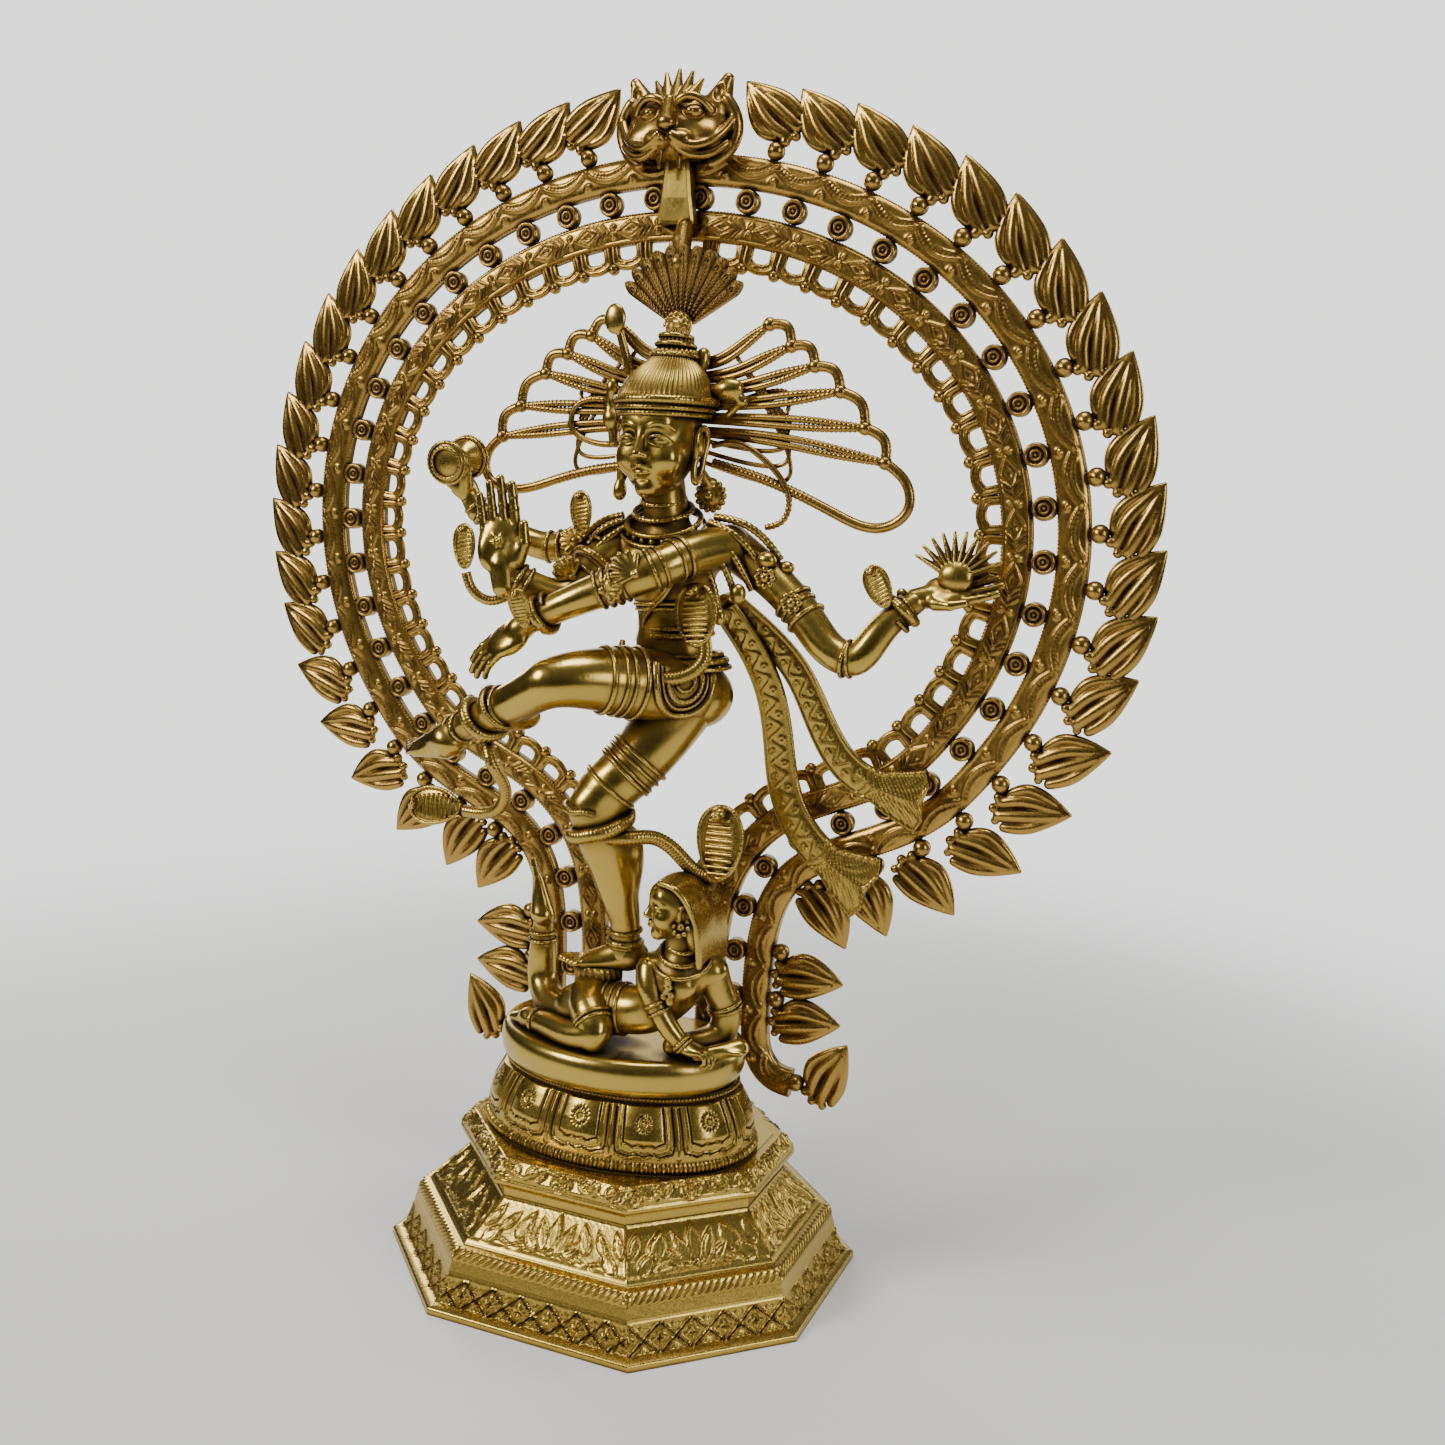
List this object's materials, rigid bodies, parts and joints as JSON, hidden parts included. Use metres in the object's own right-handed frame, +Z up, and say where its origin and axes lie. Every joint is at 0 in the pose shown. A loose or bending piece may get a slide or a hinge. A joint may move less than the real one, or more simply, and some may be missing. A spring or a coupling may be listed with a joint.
{
  "type": "nataraja statue",
  "caption": "Cast brass dancing figure with snakes, hair fans and sashes inside a flaming arch, on a dwarf, lotus pedestal and stepped octagonal base.",
  "frame": {"origin": "centre of the octagonal foot, on the surface the statue stands on", "axes": "+Z up, the figure looks towards -Y, +X to the viewer's right"},
  "size_m": [0.6006, 0.256, 0.739],
  "materials": {
    "brass_bright": "polished highs over a brown patina",
    "brass_dark": "darker brown antique patina",
    "brass_fixings": "turned, unpolished"
  },
  "bodies": {
    "root": {"arch_bosses": "brass_dark", "arch_flame_balls": "brass_dark", "arch_flames": "brass_dark", "arch_inner_band": "brass_dark", "arch_loop_balls": "brass_dark", "arch_loops": "brass_dark", "arch_lugs": "brass_dark", "arch_outer_band": "brass_dark", "arch_screws": "brass_fixings", "arm_crossing": "brass_bright", "arm_drum": "brass_bright", "arm_flame": "brass_bright", "arm_palm": "brass_bright", "base_foot": "brass_bright", "base_frieze": "brass_bright", "base_nuts": "brass_fixings", "base_studs": "brass_fixings", "base_top": "brass_bright", "cap": "brass_bright", "crest_feathers": "brass_dark", "crest_hub": "brass_dark", "drum": "brass_bright", "dwarf_arm_far": "brass_bright", "dwarf_arm_near": "brass_bright", "dwarf_body": "brass_bright", "dwarf_head": "brass_bright", "dwarf_leg_near": "brass_bright", "dwarf_leg_raised": "brass_bright", "ear_ornaments": "brass_bright", "foot_block": "brass_bright", "foot_raised": "brass_bright", "foot_standing": "brass_bright", "girdle": "brass_bright", "hair_left": "brass_dark", "hair_ornament_left": "brass_dark", "hair_ornament_right": "brass_dark", "hair_right": "brass_dark", "hand_crossing": "brass_bright", "hand_flame": "brass_bright", "hand_palm": "brass_bright", "head": "brass_bright", "leg_raised": "brass_bright", "leg_standing": "brass_bright", "lion_mask": "brass_dark", "lotus_pedestal": "brass_bright", "necklace": "brass_bright", "palm_fire": "brass_dark", "sash_high": "brass_bright", "sash_low": "brass_bright", "slab": "brass_bright", "snake_ankle": "brass_bright", "snake_armlet": "brass_bright", "snake_belly": "brass_bright", "snake_crossing": "brass_bright", "snake_flame": "brass_bright", "snake_knee": "brass_bright", "snake_palm": "brass_bright", "tongue_plate": "brass_dark", "topknot": "brass_bright", "torso": "brass_bright"}
  },
  "joints": []
}
